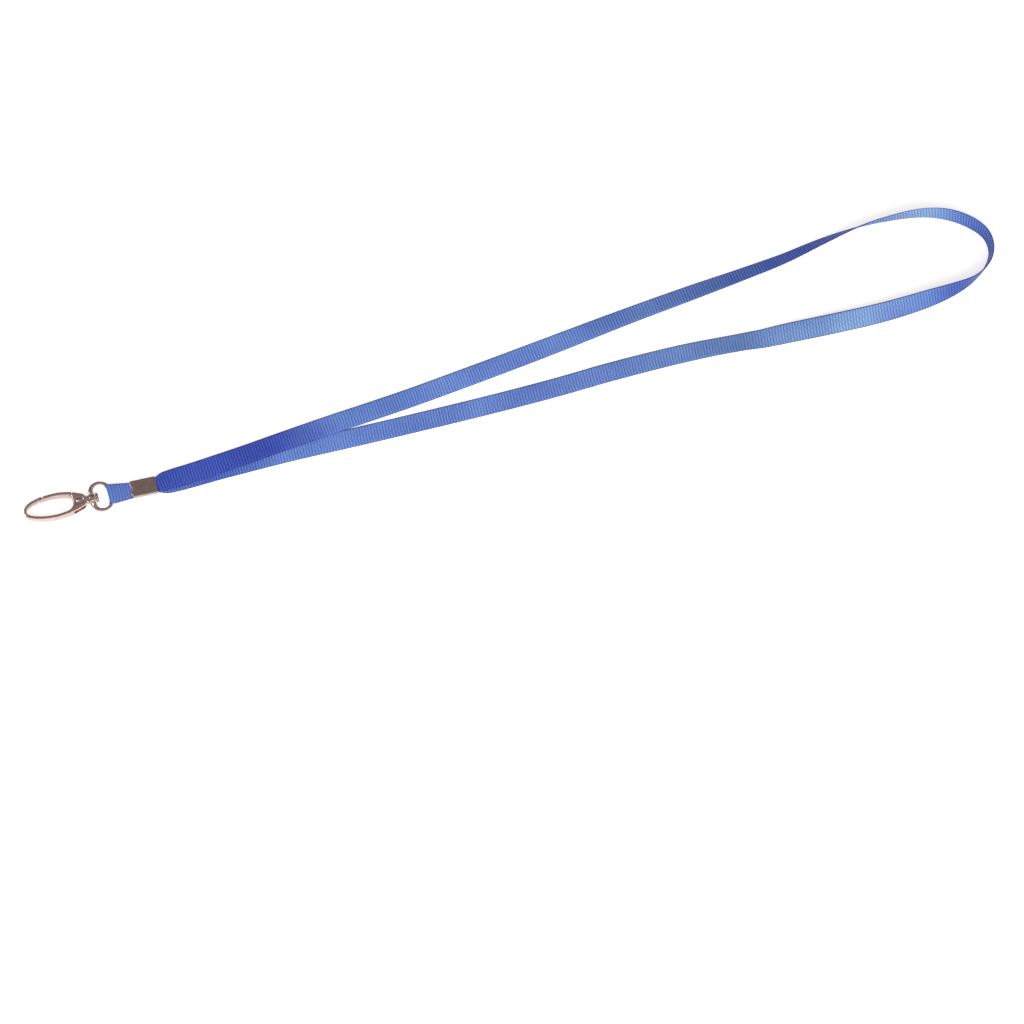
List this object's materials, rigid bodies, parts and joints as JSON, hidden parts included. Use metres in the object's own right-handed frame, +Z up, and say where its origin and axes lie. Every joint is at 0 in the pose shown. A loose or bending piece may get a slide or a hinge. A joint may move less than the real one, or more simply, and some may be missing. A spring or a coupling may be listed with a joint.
{
  "type": "neck lanyard",
  "caption": "Flat woven neck lanyard, crimped to a loop on a swivel ring that carries an oval snap hook with a sprung gate.",
  "frame": {"origin": "on the table under the swivel's axis, halfway along the metal fittings from the hook's nose to the crimp's far end", "axes": "+X along the swivel's axis from the hook towards the neck loop, +Z up off the table, +Y towards the gate's side of the hook"},
  "size_m": [0.4468, 0.0472, 0.009],
  "materials": {
    "webbing": "woven, satin",
    "nickel_plate": "worn nickel plate on zinc casting",
    "spring_steel": "bright drawn wire"
  },
  "bodies": {
    "strap": {"neck_strap": "webbing", "ring_fold_strap": "webbing", "crimp": "nickel_plate"},
    "ring": {"swivel_ring": "nickel_plate"},
    "hook": {"hook_body": "nickel_plate", "swivel_pin": "nickel_plate", "gate_rivet": "nickel_plate", "gate_spring": "spring_steel"},
    "gate": {"gate": "nickel_plate"}
  },
  "joints": [
    {"name": "ring_swing", "type": "hinge", "parent": "strap", "child": "ring", "pos_m": [0.0091, 0, 0.0025], "axis": [0, 1, 0], "range_deg": [-120, 120]},
    {"name": "hook_swivel", "type": "hinge", "parent": "ring", "child": "hook", "pos_m": [0, 0, 0.0025], "axis": [1, 0, 0], "continuous": true},
    {"name": "gate_pivot", "type": "hinge", "parent": "hook", "child": "gate", "pos_m": [-0.0053, 0, 0.0025], "axis": [0, 0, 1], "range_deg": [0, 23], "stiffness_Nm_per_rad": 0.04, "springref_deg": -22.92, "deforming": ["gate_spring"]}
  ]
}
